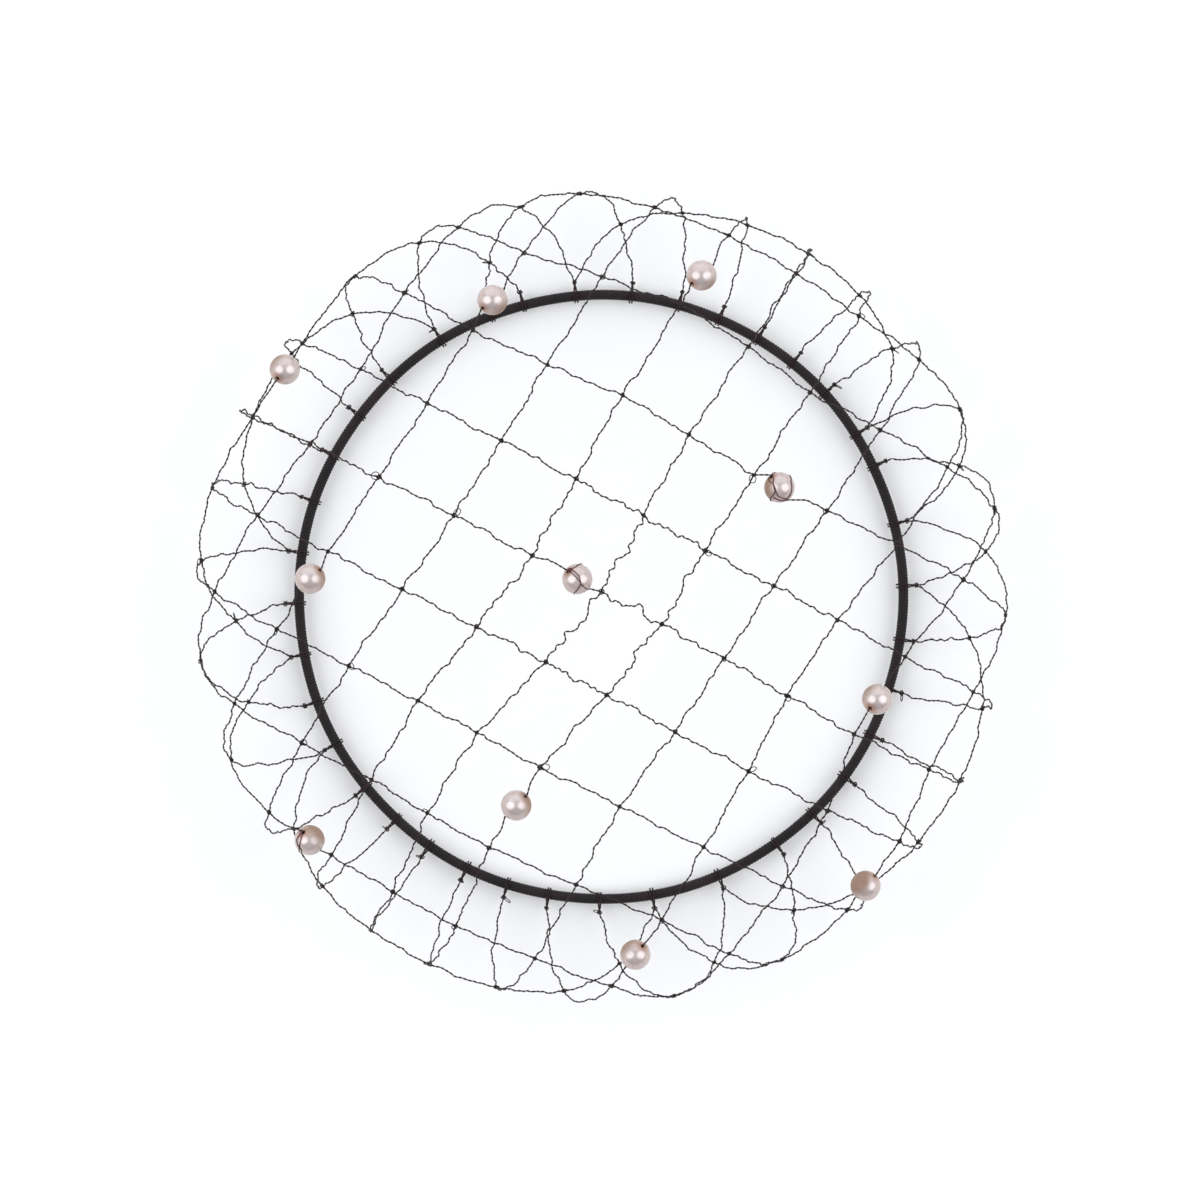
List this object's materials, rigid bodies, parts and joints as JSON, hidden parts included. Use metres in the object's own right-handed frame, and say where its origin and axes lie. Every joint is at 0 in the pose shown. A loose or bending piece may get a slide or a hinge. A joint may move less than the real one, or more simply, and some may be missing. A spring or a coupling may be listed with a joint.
{
  "type": "hair bun net with pearls",
  "caption": "Open knotted net for a hair bun, in its worn domed form, with small pearls strung on the mesh and a round elastic in the edge.",
  "frame": {"origin": "middle of the open underside, on the face of the edge loops that lies against the head", "axes": "+Z out along the middle of the bun, away from the head; +X to the right and +Y up as the bun is seen from behind in the picture"},
  "size_m": [0.1081, 0.1077, 0.0414],
  "materials": {
    "net_thread": "fine knotted thread, slight sheen",
    "elastic_cord": "thread-covered round elastic",
    "pearl": "pale rose pearl lustre"
  },
  "bodies": {
    "root": {"net": "net_thread", "edge_elastic": "elastic_cord", "pearl_01": "pearl", "pearl_02": "pearl", "pearl_03": "pearl", "pearl_04": "pearl", "pearl_05": "pearl", "pearl_06": "pearl", "pearl_07": "pearl", "pearl_08": "pearl", "pearl_09": "pearl", "pearl_10": "pearl", "pearl_11": "pearl"}
  },
  "joints": []
}
